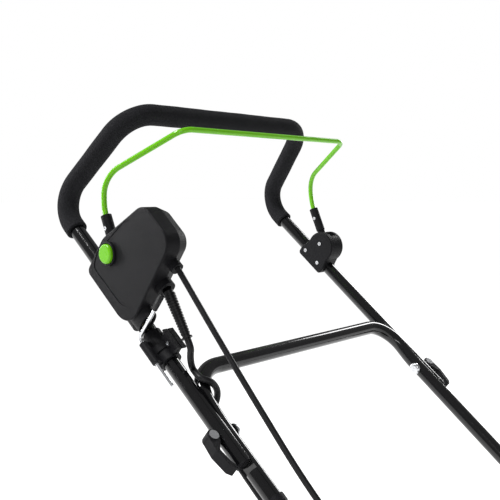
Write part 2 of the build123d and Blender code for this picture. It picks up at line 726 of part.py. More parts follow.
HANDLE_NUT_Y = LOW_FOOT_Y + TUBE_R + 0.1
with BuildPart() as frame_bolts:
    for spot in TIE_RODS:
        for way in SIDES:
            with BuildSketch(side(way * (PLATE_OUT + SEAM / 2))):
                with Locations(spot):
                    RegularPolygon(5.6, 6)
            extrude(amount=-way * 4)
            with BuildSketch(side(way * (PLATE_OUT + SEAM / 2))):
                with Locations(spot):
                    Circle(3)
            extrude(amount=way * (PLATE_OUT - PLATE_IN))
    for spot in BOLT_SPOTS:
        for way in SIDES:
            with BuildSketch(side(way * (PLATE_IN - 0.1))):
                with Locations(spot):
                    Circle(8)
            extrude(amount=way * 3.5)
            with BuildSketch(side(way * (PLATE_IN - 0.1))):
                with Locations(spot):
                    Circle(3)
            extrude(amount=-way * (HANDLE_NUT_Y + 4 - PLATE_IN))
            with BuildSketch(side(way * HANDLE_NUT_Y)):
                with Locations(spot):
                    RegularPolygon(5.8, 6)
                    Circle(3 + SEAM, mode=Mode.SUBTRACT)
            extrude(amount=-way * 3.8)
PIECES["frame_bolts"] = frame_bolts

with BuildPart() as bed_bar:
    with BuildSketch(side(PLATE_IN - SEAM)):
        with Locations((369, 41)):
            RectangleRounded(22, 22, 3)
            RectangleRounded(16, 16, 1.5, mode=Mode.SUBTRACT)
    extrude(amount=2 * (PLATE_IN - SEAM))
    with BuildSketch(level(29.9)):
        with Locations(*[(369, y) for y in range(-150, 151, 50)]):
            Circle(2.5)
    extrude(amount=5, mode=Mode.SUBTRACT)
PIECES["bed_bar"] = bed_bar

with BuildPart() as bed_knife:
    with BuildSketch(side(CUT_HALF + 8)):
        with BuildLine():
            Polyline((359, KNIFE_TOP - KNIFE_T), (427, KNIFE_TOP - KNIFE_T),
                     (432, KNIFE_TOP), (359, KNIFE_TOP), close=True)
        make_face()
    extrude(amount=2 * (CUT_HALF + 8))
    with Locations(*[Location((MID_X + 369, y, KNIFE_TOP - KNIFE_T), (180, 0, 0))
                     for y in range(-150, 151, 50)]):
        CounterSinkHole(radius=2.6, counter_sink_radius=4.8)
PIECES["bed_knife"] = bed_knife

with BuildPart() as knife_screws:
    for y in range(-150, 151, 50):
        with BuildSketch(level(KNIFE_TOP - KNIFE_T)):
            with Locations((369, y)):
                Circle(4.6)
        with BuildSketch(level(KNIFE_TOP - KNIFE_T + 2.4)):
            with Locations((369, y)):
                Circle(2.3)
        loft()
        with BuildSketch(level(KNIFE_TOP - KNIFE_T + 2.4)):
            with Locations((369, y)):
                Circle(2.3)
        extrude(amount=5)
PIECES["knife_screws"] = knife_screws

# ---------------------------------------------------------------- reel
with BuildPart() as reel_shaft:
    with BuildSketch(side(219)):
        with Locations(REEL):
            Circle(REEL_SHAFT_R)
    extrude(amount=426)
    chamfer(reel_shaft.edges().filter_by(GeomType.CIRCLE), 1)
PIECES["reel_shaft"] = reel_shaft


def twist_at(y):
    """Turn of the blades about the reel axis at y, degrees."""
    return BLADE_TWIST * y / (2 * CUT_HALF)


def reel_plane(y, degrees):
    """Plane square to the reel axis, x pointing out along a blade."""
    return Plane(origin=(MID_X + REEL[0], y, REEL[1]),
                 x_dir=(cos(radians(degrees)), 0, sin(radians(degrees))), z_dir=(0, 1, 0))


BLADE_T = 3.0
BLADE_ROOT = 50.0
SPIDER_T = 3.0
STATIONS = 9
with BuildPart() as reel_blades:
    for blade in range(BLADES):
        for step in range(STATIONS):
            y = -CUT_HALF + 2 * CUT_HALF * step / (STATIONS - 1)
            with BuildSketch(reel_plane(y, blade * 360 / BLADES + twist_at(y))):
                with Locations(((BLADE_ROOT + REEL_R) / 2, 0)):
                    Rectangle(REEL_R - BLADE_ROOT, BLADE_T)
        loft()
PIECES["reel_blades"] = reel_blades

with BuildPart() as reel_spiders:
    for y in (-164, -82, 0, 82, 164):
        with BuildSketch(reel_plane(y - SPIDER_T / 2, twist_at(y))):
            Circle(17)
            with PolarLocations(BLADE_ROOT / 2 - SEAM, BLADES):
                Rectangle(BLADE_ROOT - 2 * SEAM, 12)
            Circle(REEL_SHAFT_R + SEAM / 2, mode=Mode.SUBTRACT)
        extrude(amount=SPIDER_T)
PIECES["reel_spiders"] = reel_spiders

with BuildPart() as reel_bearings:
    for way in SIDES:
        with BuildSketch(side(way * (PLATE_IN - 4))):
            with Locations(REEL):
                Circle(BEARING_R)
                Circle(REEL_SHAFT_R + FIT, mode=Mode.SUBTRACT)
        extrude(amount=-way * 9)
PIECES["reel_bearings"] = reel_bearings

PULLEY_Y = (217.0, 206.0)
REEL_PULLEY_R = 26.0
MOTOR_PULLEY_R = 13.0
BELT_T = 2.5
MOTOR_SHAFT_R = 4.0
for name, hub, radius, bore in (("reel_pulley", REEL, REEL_PULLEY_R, REEL_SHAFT_R + SEAM / 2),
                                ("motor_pulley", MOTOR, MOTOR_PULLEY_R, MOTOR_SHAFT_R + SEAM / 2)):
    with BuildPart() as pulley:
        with BuildSketch(side(PULLEY_Y[0])):
            with Locations(hub):
                Circle(radius)
                Circle(bore, mode=Mode.SUBTRACT)
        extrude(amount=PULLEY_Y[0] - PULLEY_Y[1])
        for y in (PULLEY_Y[0] + 1, PULLEY_Y[1]):
            with BuildSketch(side(y)):
                with Locations(hub):
                    Circle(radius + 2)
                    Circle(bore, mode=Mode.SUBTRACT)
            extrude(amount=1)
    PIECES[name] = pulley


def belt_loop(extra):
    """Outline around both pulleys, standing off them by extra."""
    with BuildSketch() as loop:
        with Locations(REEL):
            Circle(REEL_PULLEY_R + extra)
        with Locations(MOTOR):
            Circle(MOTOR_PULLEY_R + extra)
        make_hull()
    return loop.sketch


BELT_IN = belt_loop(GAP)
BELT_OUT = belt_loop(GAP + BELT_T)
COVER_IN = belt_loop(6.0)
COVER_OUT = belt_loop(8.4)
with BuildPart() as drive_belt:
    with BuildSketch(side(PULLEY_Y[0] - 0.6)):
        add(BELT_OUT)
        add(BELT_IN, mode=Mode.SUBTRACT)
    extrude(amount=PULLEY_Y[0] - PULLEY_Y[1] - 1.2)
PIECES["drive_belt"] = drive_belt

COVER_Y = 226.5
with BuildPart() as belt_cover:
    with BuildSketch(side(COVER_Y)):
        add(COVER_OUT)
    extrude(amount=COVER_Y - PLATE_OUT - SEAM)
    fillet(belt_cover.faces().sort_by(Axis.Y)[-1].edges(), 4)
    with BuildSketch(side(COVER_Y - 2.4)):
        add(COVER_IN)
    extrude(amount=COVER_Y, mode=Mode.SUBTRACT)
PIECES["belt_cover"] = belt_cover

# ---------------------------------------------------------------- motor
MOTOR_Y = (186.0, 50.0)
with BuildPart() as motor_can:
    with BuildSketch(side(MOTOR_Y[0])):
        with Locations(MOTOR):
            Circle(MOTOR_R)
    extrude(amount=MOTOR_Y[0] - MOTOR_Y[1])
    fillet(motor_can.edges().filter_by(GeomType.CIRCLE), 3)
    with BuildSketch(side(MOTOR_Y[0] - 14)):
        with Locations(MOTOR):
            Circle(MOTOR_R - 8)
    extrude(amount=MOTOR_Y[0] - MOTOR_Y[1] - 28, mode=Mode.SUBTRACT)
    with BuildSketch(side(MOTOR_Y[0] + 8)):
        with Locations(MOTOR):
            Circle(12)
    extrude(amount=9)
    with BuildSketch(side(MOTOR_Y[0] + 8)):
        with Locations(MOTOR):
            Circle(MOTOR_SHAFT_R + FIT)
    extrude(amount=MOTOR_Y[0] - MOTOR_Y[1], mode=Mode.SUBTRACT)
PIECES["motor_can"] = motor_can

with BuildPart() as motor_rotor:
    with BuildSketch(side(MOTOR_Y[0] - 24)):
        with Locations(MOTOR):
            Circle(MOTOR_R - 12)
    extrude(amount=88)
    with BuildSketch(side(PULLEY_Y[0] + 2)):
        with Locations(MOTOR):
            Circle(MOTOR_SHAFT_R)
    extrude(amount=PULLEY_Y[0] - MOTOR_Y[1] - 12)
PIECES["motor_rotor"] = motor_rotor

with BuildPart() as motor_cradle:
    with BuildSketch(side(150)):
        with Locations(MOTOR):
            Circle(MOTOR_R + 3.4)
            Circle(MOTOR_R + SEAM, mode=Mode.SUBTRACT)
        with Locations((360, 98.05)):
            Rectangle(6, 92)
        with Locations(MOTOR):
            Circle(MOTOR_R + SEAM, mode=Mode.SUBTRACT)
    extrude(amount=30)
PIECES["motor_cradle"] = motor_cradle

# ---------------------------------------------------------------- top cover
COVER_LINE = [(240, 122), (262, 212), (318, 243), (398, 243), (452, 196), (500, 160), (504, 118)]
COVER_T = 3.0
COVER_HALF = 190.0
EXIT_X = MID_X + 252.0  # where the two leads enter the rear wall of the cover
EXIT_Z = 170.0
EXIT_DIR = Vector(-0.971, 0, 0.238)
LEAD_EXITS = (-150.0, -112.0)
GLAND_R = 8.0
LEAD_R = 4.4
CABLE_R = 3.8
COVER_SCREWS = [(330, -160), (330, 160), (388, -160), (388, 0), (388, 160)]
with BuildPart() as top_cover:
    with BuildSketch(side(COVER_HALF)):
        with BuildLine() as cover_path:
            FilletPolyline(*COVER_LINE, radius=[26, 34, 40, 60, 16])
        trace(line_width=COVER_T)
    extrude(amount=2 * COVER_HALF)
    for way in SIDES:
        with BuildSketch(side(way * COVER_HALF)):
            with BuildLine():
                FilletPolyline(*COVER_LINE, radius=[26, 34, 40, 60, 16])
                Line(COVER_LINE[-1], COVER_LINE[0])
            make_face()
            with Locations(MOTOR):
                Circle(12.5, mode=Mode.SUBTRACT)
            with Locations(REEL):
                Circle(REEL_R + 4, mode=Mode.SUBTRACT)
            with Locations(TIE_RODS[0]):
                Circle(TIE_R + SEAM, mode=Mode.SUBTRACT)
        extrude(amount=way * COVER_T)
    for y in LEAD_EXITS:
        with BuildSketch(Plane(origin=(EXIT_X, y, EXIT_Z), z_dir=EXIT_DIR)):
            Circle(GLAND_R)
        extrude(amount=12, both=True, mode=Mode.SUBTRACT)
    for x, y in COVER_SCREWS:
        with BuildSketch(level(230)):
            with Locations((x, y)):
                Circle(2.1)
        extrude(amount=20, mode=Mode.SUBTRACT)
PIECES["top_cover"] = top_cover

PIECES["cover_screws"] = screws(
    [(level(COVER_LINE[2][1] + COVER_T / 2), spot) for spot in COVER_SCREWS], 4.0, 2.2, 2.0, 9)

with BuildPart() as lead_glands:
    for y, bore in zip(LEAD_EXITS, (LEAD_R, CABLE_R)):
        gland_plane = Plane(origin=Vector(EXIT_X, y, EXIT_Z) + EXIT_DIR * 2.2, z_dir=EXIT_DIR)
        with BuildSketch(gland_plane):
            Circle(GLAND_R + 3)
        with BuildSketch(gland_plane.offset(14)):
            Circle(bore + 2)
        loft()
        with BuildSketch(gland_plane.offset(-9)):
            Circle(GLAND_R - SEAM)
        extrude(amount=9)
        with BuildSketch(gland_plane.offset(-10)):
            Circle(bore + SEAM / 2)
        extrude(amount=30, mode=Mode.SUBTRACT)
PIECES["lead_glands"] = lead_glands

# ---------------------------------------------------------------- wheels
WHEEL_IN = 232.0
WHEEL_OUT = 262.0
HUB_OUT = 270.0
with BuildPart() as stub_axles:
    for way in SIDES:
        with BuildSketch(side(way * (PLATE_OUT + 0.05))):
            with Locations(WHEEL):
                Circle(10)
        extrude(amount=-way * 3)
        with BuildSketch(side(way * (PLATE_OUT + 0.05))):
            with Locations(WHEEL):
                Circle(STUB_R)
        extrude(amount=-way * (WHEEL_OUT - 6 - PLATE_OUT))
        with BuildSketch(side(way * (PLATE_IN - 5))):
            with Locations(WHEEL):
                Circle(STUB_R - 2 - SEAM)
        extrude(amount=-way * 9)
PIECES["stub_axles"] = stub_axles


def wheel_profile(way):
    """Half section plane of a wheel: x out from the axle, y outwards from the machine."""
    return Plane(origin=(MID_X + WHEEL[0], 0, WHEEL[1]), x_dir=(1, 0, 0), z_dir=(0, 0, way))


def wheel_axis():
    """Axle line of the wheels."""
    return Axis((MID_X + WHEEL[0], 0, WHEEL[1]), (0, 1, 0))


RIM_R = 92.0
TYRE_SIDE = 234.0
for name, way in (("right", -1), ("left", 1)):
    with BuildPart() as rim:
        with BuildSketch(wheel_profile(way)):
            with BuildLine():
                Polyline((STUB_R + FIT, WHEEL_IN), (15, WHEEL_IN), (18, 243), (80, 247), (84, 236),
                         (RIM_R, 236), (RIM_R, 260), (84, 260), (80, 251), (26, 254), (25, 264),
                         (19, HUB_OUT), (0, HUB_OUT), (0, 258), (STUB_R + FIT, 258), close=True)
            make_face()
        revolve(axis=wheel_axis())
        with BuildSketch(side(270 if way > 0 else -220)):
            with Locations(WHEEL):
                with PolarLocations(54, 6):
                    SlotArc(CenterArc((0, 0), 54, -15, 30), 22)
        extrude(amount=50, mode=Mode.SUBTRACT)
    PIECES[f"wheel_rim_{name}"] = rim

    with BuildPart() as tyre:
        with BuildSketch(wheel_profile(way)):
            with BuildLine():
                Polyline((RIM_R + SEAM, TYRE_SIDE), (99, TYRE_SIDE), (104, 238))
                ThreePointArc((104, 238), (WHEEL_R, 248), (104, 258))
                Polyline((104, 258), (99, 262), (RIM_R + SEAM, 262), (RIM_R + SEAM, TYRE_SIDE))
            make_face()
        revolve(axis=wheel_axis())
    PIECES[f"tyre_{name}"] = tyre

# ---------------------------------------------------------------- rear roller
ROLLER_HALF = 184.0
ROLLER_SHAFT_R = 5.0
BRACKET_T = 3.0
with BuildPart() as rear_roller:
    with BuildSketch(side(ROLLER_HALF)):
        with Locations(ROLLER):
            Circle(ROLLER_R)
            Circle(ROLLER_SHAFT_R + FIT, mode=Mode.SUBTRACT)
    extrude(amount=2 * ROLLER_HALF)
    chamfer(rear_roller.edges().filter_by(GeomType.CIRCLE).group_by(SortBy.LENGTH)[-1], 1.5)
PIECES["rear_roller"] = rear_roller

with BuildPart() as roller_shaft:
    with BuildSketch(side(PLATE_IN - SEAM)):
        with Locations(ROLLER):
            Circle(ROLLER_SHAFT_R)
    extrude(amount=2 * (PLATE_IN - SEAM))
PIECES["roller_shaft"] = roller_shaft

with BuildPart() as roller_brackets:
    for way in SIDES:
        with BuildSketch(side(way * (PLATE_IN - SEAM))):
            with BuildLine():
                Polyline((192, 14), (218, 14), (232, 50), (258, 90), (246, 106), (228, 92), (206, 66),
                         close=True)
            make_face()
            fillet(vertices(), 5)
            with Locations(ROLLER):
                Circle(ROLLER_SHAFT_R + SEAM / 2, mode=Mode.SUBTRACT)
            with Locations(*FOOT_BOLTS):
                SlotOverall(14, 6.2, rotation=52, mode=Mode.SUBTRACT)
        extrude(amount=way * BRACKET_T)
PIECES["roller_brackets"] = roller_brackets

with BuildPart() as height_knobs:
    for way in SIDES:
        for spot in FOOT_BOLTS:
            with BuildSketch(side(way * (PLATE_OUT + SEAM))):
                with Locations(spot):
                    Circle(8.5)
                    with PolarLocations(8.5, 6):
                        Circle(2.6)
            extrude(amount=-way * 9)
            with BuildSketch(side(way * (PLATE_OUT + SEAM))):
                with Locations(spot):
                    Circle(3)
            extrude(amount=way * (PLATE_OUT - PLATE_IN + BRACKET_T + 3))
PIECES["height_knobs"] = height_knobs

# ---------------------------------------------------------------- leads
def roomy_radii(points, largest):
    """Largest arc radius that each corner of a route allows, up to a limit."""
    radii = []
    for before, corner, after in zip(points, points[1:], points[2:]):
        into, out = corner - before, after - corner
        half_turn = radians(into.get_angle(out)) / 2
        radii.append(min(largest, 0.45 * min(into.length, out.length) * cos(half_turn) / sin(half_turn)))
    return radii


def lead(points, radius, largest=400.0):
    """Flexible lead along a route, with a printed comparison of its size and its bends."""
    radii = roomy_radii(points, largest)
    with BuildPart() as swept:
        with BuildLine() as path:
            FilletPolyline(*points, radius=radii)
        with BuildSketch(Plane(origin=path.line @ 0, z_dir=path.line % 0)):
            Circle(radius)
        sweep(path=path.line)
    length = path.wire().length
    ratio = swept.part.volume / (pi * radius * radius * length)
    print("lead length", round(length), "volume ratio", round(ratio, 3), "radii", [round(r) for r in radii])
    return swept.part


RELIEF_START = (168.6, 74.3, -240.0)
RELIEF_END = (107.5, 50.4, -238.0)
RELIEF_AXIS = at(*RELIEF_END) - at(*RELIEF_START)
RELIEF_DIR = RELIEF_AXIS.normalized()
GLAND_TIP = [Vector(EXIT_X, y, EXIT_Z) + EXIT_DIR * 16.3 for y in LEAD_EXITS]
LEAD_TOP = at(*RELIEF_END)
LEAD_ROUTE = [
    LEAD_TOP, LEAD_TOP + RELIEF_DIR * 13, at(93.5, 34, -234), at(88.8, 21, -229), at(86.5, 11.5, -222),
    at(74, 17.5, -228), at(64.5, 20.5, -230), at(57, 22.5, -221), at(52.5, 15.5, -211), at(47.6, 7.8, -205.5),
    at(42, -1, -205.5), at(39, -9, -208), at(30, -15.5, -213), at(12, -17.5, -220), at(-20, -17, -225),
    at(-60, -16.4, -227.5), at(-110, -16.4, -228.2), at(-160, -15.8, -227.6), at(-210, -16.2, -228.3),
    at(-270, -16.2, -228.2), at(-330, -16.4, -226.4), at(-380, -16.4, -219), at(-430, -17, -210.5),
    at(-470, -24, -200), GLAND_TIP[0] + EXIT_DIR * 22 + Vector(0, -8, 8), GLAND_TIP[0] + EXIT_DIR * 9,
    GLAND_TIP[0],
]
CABLE_ROUTE = [at(172.4, 111, -241), at(150, 106.5, -240.4), at(64, 88, -236.4), at(-22, 68, -229),
               at(-120, 45, -219), at(-200, 30.5, -205), at(-270, 21, -187), at(-330, 14, -166),
               at(-385, 5, -144), at(-430, -8, -129), GLAND_TIP[1] + EXIT_DIR * 46 + Vector(0, -6, 22),
               GLAND_TIP[1] + EXIT_DIR * 20, GLAND_TIP[1]]
PIECES["power_lead"] = lead(LEAD_ROUTE, LEAD_R)
PIECES["control_cable"] = lead(CABLE_ROUTE, CABLE_R)

RELIEF_RIBS = 15
relief_len = RELIEF_AXIS.length
with BuildPart() as strain_relief:
    relief_plane = Plane(origin=at(*RELIEF_START), z_dir=RELIEF_DIR)
    with BuildSketch(relief_plane):
        Circle(6.4)
    with BuildSketch(relief_plane.offset(relief_len)):
        Circle(5.2)
    loft()
    for rib in range(RELIEF_RIBS):
        reach = 4 + (relief_len - 12) * rib / (RELIEF_RIBS - 1)
        with BuildSketch(relief_plane.offset(reach)):
            Circle(7.6 - 1.6 * rib / RELIEF_RIBS)
        extrude(amount=2.0)
    with BuildSketch(relief_plane.offset(relief_len - 2)):
        Circle(7.2)
    extrude(amount=2)
PIECES["strain_relief"] = strain_relief

with BuildPart() as cable_clips:
    for along in (-110.0, -270.0):
        with BuildSketch(station(along + 5)):
            with Locations((-LOW_Y, 0)):
                Circle(TUBE_R + 2)
            with Locations((-LOW_Y, -16)):
                Circle(LEAD_R + 2.6)
            with Locations((-LOW_Y, 0)):
                Circle(TUBE_R + SEAM, mode=Mode.SUBTRACT)
            with Locations((-LOW_Y - 0.2, -16.2)):
                Circle(LEAD_R + 0.7, mode=Mode.SUBTRACT)
        extrude(amount=10)
PIECES["cable_clips"] = cable_clips

for label, piece in PIECES.items():
    solid = piece.part if isinstance(piece, BuildPart) else piece
    solid.label = label
    export_step(solid, f"parts/{label}.step")
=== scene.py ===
"""Reel mower with a folding bail handle: finishes, soft grip, leads, springs, tyres and a plain studio.

Lengths are metres. The handle is described in its own side view: "along" runs up the leg from the fold
bolt, "normal" is square to the leg towards the front, and y is across the machine.
"""

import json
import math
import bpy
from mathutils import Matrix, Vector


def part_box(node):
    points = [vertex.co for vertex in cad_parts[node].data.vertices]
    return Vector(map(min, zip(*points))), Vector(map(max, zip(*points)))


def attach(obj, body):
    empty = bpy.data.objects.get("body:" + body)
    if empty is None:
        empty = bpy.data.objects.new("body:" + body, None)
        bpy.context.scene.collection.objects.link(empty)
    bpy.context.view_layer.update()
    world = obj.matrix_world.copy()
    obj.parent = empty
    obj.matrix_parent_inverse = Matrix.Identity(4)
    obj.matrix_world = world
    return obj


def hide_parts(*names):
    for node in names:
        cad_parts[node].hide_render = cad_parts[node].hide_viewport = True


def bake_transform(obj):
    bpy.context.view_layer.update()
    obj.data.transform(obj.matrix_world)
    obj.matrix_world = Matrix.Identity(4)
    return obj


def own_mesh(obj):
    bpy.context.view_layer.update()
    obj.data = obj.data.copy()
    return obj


bl_info = {
    "name": "Reel Mower Dresser",
    "version": (1, 0, 0),
    "blender": (4, 5, 0),
    "location": "3D View > Sidebar > Mower",
    "description": "Builds the looks of a reel mower around its fixed frame",
    "category": "Object",
}

import bmesh
import bpy
from mathutils import Matrix, Vector

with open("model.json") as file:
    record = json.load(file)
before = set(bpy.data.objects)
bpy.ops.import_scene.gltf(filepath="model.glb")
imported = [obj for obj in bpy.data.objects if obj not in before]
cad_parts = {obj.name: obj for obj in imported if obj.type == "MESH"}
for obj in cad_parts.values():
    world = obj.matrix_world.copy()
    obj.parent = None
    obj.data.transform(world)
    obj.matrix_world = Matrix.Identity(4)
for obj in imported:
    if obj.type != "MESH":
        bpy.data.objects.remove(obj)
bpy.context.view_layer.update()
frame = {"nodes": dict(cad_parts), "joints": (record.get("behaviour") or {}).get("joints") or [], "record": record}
JOINTS = {joint["name"]: joint for joint in frame["joints"]}

# ---------------------------------------------------------------- places taken from the frame
FRONT = Vector(JOINTS["left_cam"]["axis"]).normalized()
UP = FRONT.cross(Vector((0, 1, 0)))
BOLT_BELOW_DATUM = 0.008
FOLD = Vector(JOINTS["handle_fold"]["pos_m"]) + UP * BOLT_BELOW_DATUM
LEG_Y = sum(c.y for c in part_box("bail_end_far")) / 2


def at(along, normal, y):
    """A point of the handle in the machine's frame."""
    return FOLD + UP * along + FRONT * normal + Vector((0, y, 0))


def middle(node):
    """Middle and size of a node's box."""
    low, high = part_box(node)
    return (low + high) / 2, high - low


# ---------------------------------------------------------------- mesh helpers
def new_piece(name, verts, faces, finish=None, smooth=True):
    """A mesh object at the origin, with outward normals and one finish."""
    mesh = bpy.data.meshes.new(name)
    mesh.from_pydata([tuple(v) for v in verts], [], faces)
    work = bmesh.new()
    work.from_mesh(mesh)
    bmesh.ops.remove_doubles(work, verts=work.verts, dist=1e-7)
    bmesh.ops.recalc_face_normals(work, faces=work.faces)
    work.to_mesh(mesh)
    work.free()
    mesh.polygons.foreach_set("use_smooth", [smooth] * len(mesh.polygons))
    piece = bpy.data.objects.new(name, mesh)
    bpy.context.scene.collection.objects.link(piece)
    if finish:
        mesh.materials.append(finish)
    return piece


def frames_along(points):
    """Centre, side and lift vectors at each point of a line, turned as little as possible."""
    frames = []
    side = None
    for k, spot in enumerate(points):
        ahead = points[min(k + 1, len(points) - 1)] - points[max(k - 1, 0)]
        ahead.normalize()
        if side is None:
            side = ahead.orthogonal().normalized()
        side = (side - ahead * side.dot(ahead)).normalized()
        frames.append((spot, side, ahead.cross(side)))
    return frames


def swept(name, points, radii, ring):
    """Closed round bar along a line, with a radius at each point."""
    verts, faces = [], []
    frames = frames_along(points)
    for (spot, side, lift), radius in zip(frames, radii):
        for k in range(ring):
            turn = math.tau * k / ring
            verts.append(spot + (side * math.cos(turn) + lift * math.sin(turn)) * radius)
    for row in range(len(frames) - 1):
        for k in range(ring):
            a, b = row * ring + k, row * ring + (k + 1) % ring
            faces.append((a, b, b + ring, a + ring))
    faces.append(tuple(range(ring))[::-1])
    last = (len(frames) - 1) * ring
    faces.append(tuple(range(last, last + ring)))
    return new_piece(name, verts, faces)


COIL_STEPS = 28
END_CLOSING = 0.06
WIRE_RING = 12


def helix(name, centre, axis, radius, wire, turns, height):
    """Round wire wound about an axis, with its coils closer at both ends like a cut spring."""
    side = axis.orthogonal().normalized()
    lift = axis.cross(side)
    steps = int(turns * COIL_STEPS)
    points = []
    for k in range(steps + 1):
        part = k / steps
        turn = math.tau * turns * part
        rise = (part - math.sin(math.tau * part) * END_CLOSING - 0.5) * (height - 2 * wire)
        points.append(centre + (side * math.cos(turn) + lift * math.sin(turn)) * radius + axis * rise)
    return swept(name, points, [wire] * len(points), WIRE_RING)


def rounded_line(corners, radii, step):
    """Evenly spaced points along straight runs joined by arcs."""
    points = [corners[0]]
    for before, corner, after, radius in zip(corners, corners[1:], corners[2:], radii):
        into, out = (corner - before).normalized(), (after - corner).normalized()
        half = into.angle(out) / 2
        reach = radius * math.tan(half)
        start = corner - into * reach
        centre = start + (out - into * into.dot(out)).normalized() * radius
        axis = into.cross(out).normalized()
        arm = start - centre
        turns = max(4, math.ceil(2 * half * radius / step))
        for k in range(turns + 1):
            points.append(centre + Matrix.Rotation(2 * half * k / turns, 3, axis) @ arm)
    points.append(corners[-1])
    line = [points[0]]
    for a, b in zip(points, points[1:]):
        pieces = max(1, round((b - a).length / step))
        line += [a.lerp(b, (k + 1) / pieces) for k in range(pieces)]
    return line


def lathe(name, profile, centre, axis, ring):
    """Surface turned about an axis from pairs of radius and distance; a closed profile is solid."""
    axis = axis.normalized()
    side = axis.orthogonal().normalized()
    lift = axis.cross(side)
    verts, faces = [], []
    count = len(profile)
    for k in range(ring):
        turn = math.tau * k / ring
        out = side * math.cos(turn) + lift * math.sin(turn)
        verts += [centre + out * r + axis * h for r, h in profile]
    for k in range(ring):
        a, b = k * count, (k + 1) % ring * count
        for j in range(count - 1):
            faces.append((a + j, b + j, b + j + 1, a + j + 1))
    return new_piece(name, verts, faces)


# ---------------------------------------------------------------- shader helpers
def plug(slot, value):
    """Links a field to a shader slot, or sets a plain value on it."""
    if isinstance(value, Field):
        slot.id_data.links.new(value.socket, slot)
    else:
        slot.default_value = value


class Field:
    """A shader value that can be written in sums and products."""

    def __init__(self, socket):
        self.socket = socket

    def maths(self, operation, other, turned=False):
        """A Math node of this value and another."""
        node = self.socket.id_data.nodes.new("ShaderNodeMath")
        node.operation = operation
        first, second = (other, self) if turned else (self, other)
        plug(node.inputs[0], first)
        plug(node.inputs[1], second)
        return Field(node.outputs[0])

    def __add__(self, other):
        return self.maths("ADD", other)

    def __sub__(self, other):
        return self.maths("SUBTRACT", other)

    def __mul__(self, other):
        return self.maths("MULTIPLY", other)

    def __rsub__(self, other):
        return self.maths("SUBTRACT", other, turned=True)

    __radd__ = __add__
    __rmul__ = __mul__


class Finish:
    """A material under construction around one Principled shader."""

    def __init__(self, name, **fixed):
        self.material = bpy.data.materials.new(name)
        self.material.use_nodes = True
        self.tree = self.material.node_tree
        self.shader = self.tree.nodes["Principled BSDF"]
        for label, value in fixed.items():
            self.shader.inputs[label.replace("_", " ")].default_value = value
        self.place = self.node("ShaderNodeTexCoord", out="Object")

    def node(self, kind, settings=None, sockets=None, out=0):
        """One node: its settings first, then the values or links of its sockets."""
        node = self.tree.nodes.new(kind)
        for label, value in (settings or {}).items():
            setattr(node, label, value)
        for label, value in (sockets or {}).items():
            plug(node.inputs[label], value)
        return Field(node.outputs[out])

    def grain(self, scale, detail=2.0, rough=0.5, stretch=None):
        """Noise over the surface, from 0 to 1, with its pattern stretched along the axes if asked."""
        place = self.place
        if stretch:
            place = self.node("ShaderNodeMapping", None, {"Vector": place, "Scale": stretch})
        return self.node("ShaderNodeTexNoise", None, {"Vector": place, "Scale": scale, "Detail": detail,
                                                      "Roughness": rough}, out=0)

    def cells(self, scale):
        """Distance to the middle of small cells over the surface."""
        return self.node("ShaderNodeTexVoronoi", None, {"Vector": self.place, "Scale": scale},
                         out="Distance")

    def between(self, value, low, high):
        """Rescales a value so that low becomes 0 and high becomes 1, held inside that range."""
        return self.node("ShaderNodeMapRange", {"clamp": True},
                         {"Value": value, "From Min": low, "From Max": high}, out=0)

    def blended(self, mask, one, two):
        """A colour between two, by a mask."""
        return self.node("ShaderNodeMix", {"data_type": "RGBA"},
                         {0: mask, 6: one, 7: two}, out=2)

    def colour(self, value):
        """Sets or links the base colour."""
        plug(self.shader.inputs["Base Color"], value)

    def rough(self, value):
        """Sets or links the roughness."""
        plug(self.shader.inputs["Roughness"], value)

    def bumps(self, *layers):
        """Stacks bump layers, each a height and its depth in metres."""
        normal = None
        for height, depth in layers:
            sockets = {"Height": height, "Distance": depth, "Strength": 1.0}
            if normal:
                sockets["Normal"] = normal
            normal = self.node("ShaderNodeBump", None, sockets, out=0)
        plug(self.shader.inputs["Normal"], normal)


def shade(colour, factor):
    """A colour made lighter or darker, with full alpha."""
    return tuple(min(1.0, c * factor) for c in colour[:3]) + (1.0,)


# ---------------------------------------------------------------- finishes
def foam_finish(name, colour):
    """Closed cell foam: fine open pores in a dull skin, a little scuffed."""
    made = Finish(name, Specular_IOR_Level=0.1)
    pores = made.cells(900)
    cloud = made.grain(42, 4, 0.6)
    speck = made.between(made.grain(760, 2), 0.4, 0.68)
    rubbed = made.between(made.grain(18, 5, 0.7, (1, 0.4, 1)), 0.55, 0.8)
    mask = speck * 0.5 + cloud * 0.3 + rubbed * 0.15
    made.colour(made.blended(mask, shade(colour, 0.5), shade(colour, 2.0)))
    made.rough(0.8 + 0.16 * cloud)
    made.bumps((cloud, 0.0008), (pores, 0.0008), (made.grain(2000, 2), 0.0003))
    return made.material


def tube_finish(name, colour):
    """Gloss powder coat with a faint orange peel and fine dust."""
    made = Finish(name, Specular_IOR_Level=0.4, Coat_Roughness=0.03)
    peel = made.grain(420, 2)
    dust = made.between(made.grain(70, 5, 0.7), 0.5, 0.8)
    speck = made.between(made.grain(2600, 1), 0.72, 0.78)
    made.colour(made.blended(dust * 0.25 + speck * 0.2, shade(colour, 1.0), shade(colour, 2.6)))
    made.rough(0.12 + 0.1 * dust)
    plug(made.shader.inputs["Coat Weight"], 0.35 - 0.15 * dust)
    made.bumps((peel, 0.00005))
    return made.material


